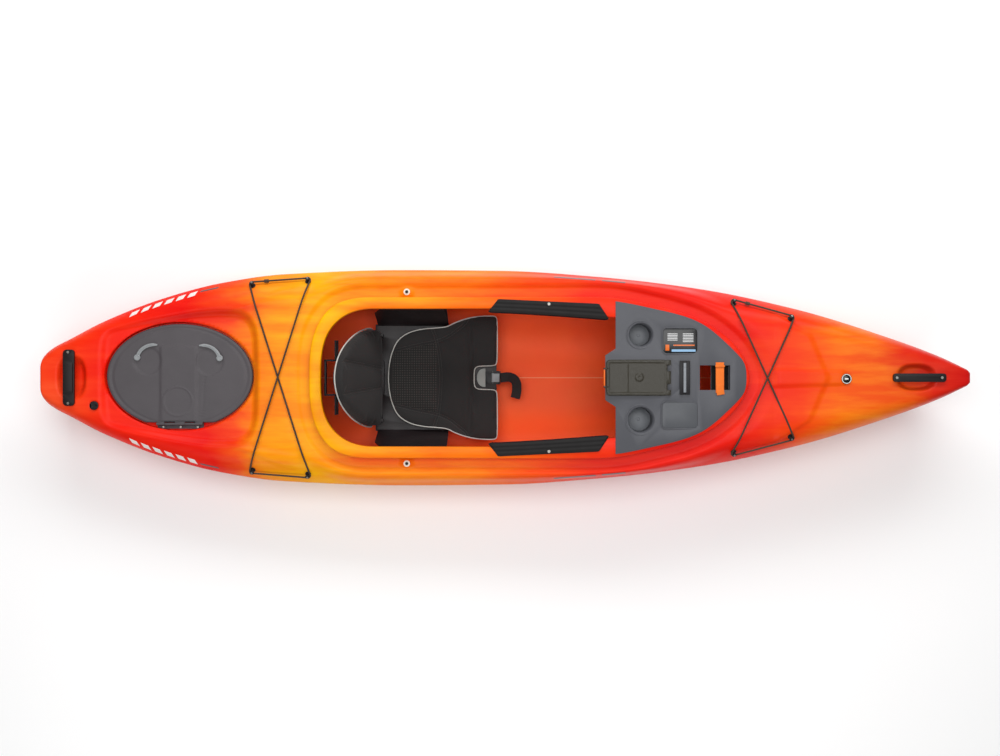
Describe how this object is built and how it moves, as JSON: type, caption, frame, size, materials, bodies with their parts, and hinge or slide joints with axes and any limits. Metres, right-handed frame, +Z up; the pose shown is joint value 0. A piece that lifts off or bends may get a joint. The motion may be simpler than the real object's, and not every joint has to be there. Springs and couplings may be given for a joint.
{
  "type": "recreational kayak",
  "caption": "Sit-inside recreational kayak with a moulded hull, oval stern hatch, padded seat with backrest, lift-out dashboard with dry box and cup holders, foot braces and carry handles.",
  "frame": {"origin": "on the ground under the middle of the hull's length and beam", "axes": "+X towards the bow, +Y to port, +Z up"},
  "size_m": [3.2, 0.7518, 0.4083],
  "materials": {
    "hull": "rotomoulded polyethylene, marbled red, orange and yellow",
    "foam": "closed-cell foam",
    "rubber": "moulded rubber",
    "seal": "sponge rubber",
    "black_plastic": "moulded plastic, fine texture",
    "grey_plastic": "moulded plastic, fine texture",
    "light_grey_plastic": "moulded plastic, satin",
    "orange_plastic": "moulded plastic, satin",
    "smoke_plastic": "smoke-tinted clear plastic",
    "steel": "stainless steel",
    "aluminium": "anodised aluminium",
    "cushion_fabric": "woven polyester over foam",
    "pad_foam": "ribbed foam rubber",
    "bungee_cord": "braided elastic cord",
    "webbing": "woven webbing",
    "tab_webbing": "woven webbing",
    "orange_strap": "hook-and-loop webbing",
    "label": "printed plastic sheet, blank"
  },
  "bodies": {
    "hull": {"hull_shell": "hull", "stern_bulkhead": "foam", "bow_pillar": "foam", "bow_handle": "rubber", "stern_handle": "rubber", "handle_screws": "steel", "deck_fittings": "black_plastic", "fitting_screws": "steel", "bow_bungee": "bungee_cord", "stern_bungee": "bungee_cord", "thigh_pad_port": "pad_foam", "thigh_pad_starboard": "pad_foam", "thigh_pad_screws": "steel", "hatch_seal": "seal", "hatch_hinge_base": "black_plastic", "hatch_hinge_pin": "steel", "hatch_hinge_screws": "steel", "seat_pan": "black_plastic", "seat_blocks": "foam", "seat_bolts": "steel", "seat_washers": "steel", "seat_nuts": "steel", "seat_cushion_rear": "cushion_fabric", "lifter_pins": "steel", "back_pins": "steel", "brace_rail_port": "aluminium", "brace_rail_starboard": "aluminium", "brace_pads": "black_plastic", "brace_screws": "steel"},
    "hatch_lid": {"hatch_lid": "grey_plastic"},
    "hatch_latch_aft": {"hatch_latch_aft": "light_grey_plastic"},
    "hatch_latch_fore": {"hatch_latch_fore": "light_grey_plastic"},
    "drain_seal": {"drain_seal": "seal"},
    "drain_plug": {"drain_plug": "black_plastic"},
    "leg_lifter": {"leg_lifter": "black_plastic", "seat_cushion_front": "cushion_fabric", "lift_strap": "tab_webbing", "lift_tail": "webbing", "cam_buckle": "black_plastic", "cam_pin": "steel"},
    "cam_lever": {"cam_lever": "black_plastic"},
    "backrest": {"back_frame": "black_plastic", "back_rivets": "steel"},
    "back_pad": {"back_pad": "cushion_fabric"},
    "dashboard": {"dashboard": "grey_plastic", "tray_plate_port": "label", "tray_plate_starboard": "grey_plastic", "box_seal": "seal", "box_hinge_pin": "steel", "accessory_track": "aluminium", "track_screws": "steel", "pocket_strap": "orange_strap"},
    "box_lid": {"box_lid": "smoke_plastic", "box_latch_pin": "steel"},
    "box_latch": {"box_latch": "orange_plastic"},
    "pedal_port": {"pedal_port": "black_plastic"},
    "pedal_starboard": {"pedal_starboard": "black_plastic"},
    "pedal_trigger_port": {"pedal_trigger_port": "black_plastic"},
    "pedal_trigger_starboard": {"pedal_trigger_starboard": "black_plastic"}
  },
  "joints": [
    {"name": "hatch_lid_hinge", "type": "hinge", "parent": "hull", "child": "hatch_lid", "pos_m": [-1.116, -0.16, 0.26], "axis": [1, 0, 0], "range_deg": [0, 60]},
    {"name": "hatch_latch_aft_turn", "type": "hinge", "parent": "hatch_lid", "child": "hatch_latch_aft", "pos_m": [-1.262, 0.07, 0.2585], "axis": [0, 0, -1], "range_deg": [0, 75]},
    {"name": "hatch_latch_fore_turn", "type": "hinge", "parent": "hatch_lid", "child": "hatch_latch_fore", "pos_m": [-0.977, 0.068, 0.2585], "axis": [0, 0, 1], "range_deg": [0, 75]},
    {"name": "drain_plug_lift", "type": "slide", "parent": "hull", "child": "drain_seal", "axis": [0, 0, 1], "range_m": [0, 0.018]},
    {"name": "drain_plug_turn", "type": "hinge", "parent": "drain_seal", "child": "drain_plug", "pos_m": [-1.408, -0.096, 0.26855], "axis": [0, 0, 1], "range_deg": [0, 1620]},
    {"name": "leg_lifter_hinge", "type": "hinge", "parent": "hull", "child": "leg_lifter", "pos_m": [-0.216, 0, 0.073], "axis": [0, -1, 0], "range_deg": [0, 12]},
    {"name": "cam_lever_hinge", "type": "hinge", "parent": "leg_lifter", "child": "cam_lever", "pos_m": [-0.034, 0, 0.0855], "axis": [0, -1, 0], "range_deg": [0, 60]},
    {"name": "backrest_recline", "type": "hinge", "parent": "hull", "child": "backrest", "pos_m": [-0.44, 0, 0.086], "axis": [0, 1, 0], "range_deg": [-4, 10]},
    {"name": "back_pad_height", "type": "slide", "parent": "backrest", "child": "back_pad", "axis": [-0.3827, 0, 0.9239], "range_m": [0, 0.05]},
    {"name": "dashboard_lift", "type": "slide", "parent": "hull", "child": "dashboard", "axis": [0, 0, 1], "range_m": [0, 0.25]},
    {"name": "box_lid_hinge", "type": "hinge", "parent": "dashboard", "child": "box_lid", "pos_m": [0.568, 0, 0.35429], "axis": [0, 1, 0], "range_deg": [0, 110]},
    {"name": "box_latch_hinge", "type": "hinge", "parent": "box_lid", "child": "box_latch", "pos_m": [0.346, 0, 0.35329], "axis": [0, 1, 0], "range_deg": [0, 100]},
    {"name": "pedal_port_slide", "type": "slide", "parent": "hull", "child": "pedal_port", "axis": [0.989, -0.1478, 0], "range_m": [-0.12, 0.12]},
    {"name": "pedal_starboard_slide", "type": "slide", "parent": "hull", "child": "pedal_starboard", "axis": [0.989, 0.1478, 0], "range_m": [-0.12, 0.12]},
    {"name": "pedal_trigger_port_hinge", "type": "hinge", "parent": "pedal_port", "child": "pedal_trigger_port", "pos_m": [0.63262, 0.24172, 0.134], "axis": [0, 0, 1], "range_deg": [0, 18], "stiffness_Nm_per_rad": 0.02},
    {"name": "pedal_trigger_starboard_hinge", "type": "hinge", "parent": "pedal_starboard", "child": "pedal_trigger_starboard", "pos_m": [0.63262, -0.24172, 0.134], "axis": [0, 0, -1], "range_deg": [0, 18], "stiffness_Nm_per_rad": 0.02}
  ],
  "couplings": [
    {"joint": "drain_plug_turn", "follows": "drain_plug_lift", "rad_per_m": 1570.8}
  ]
}
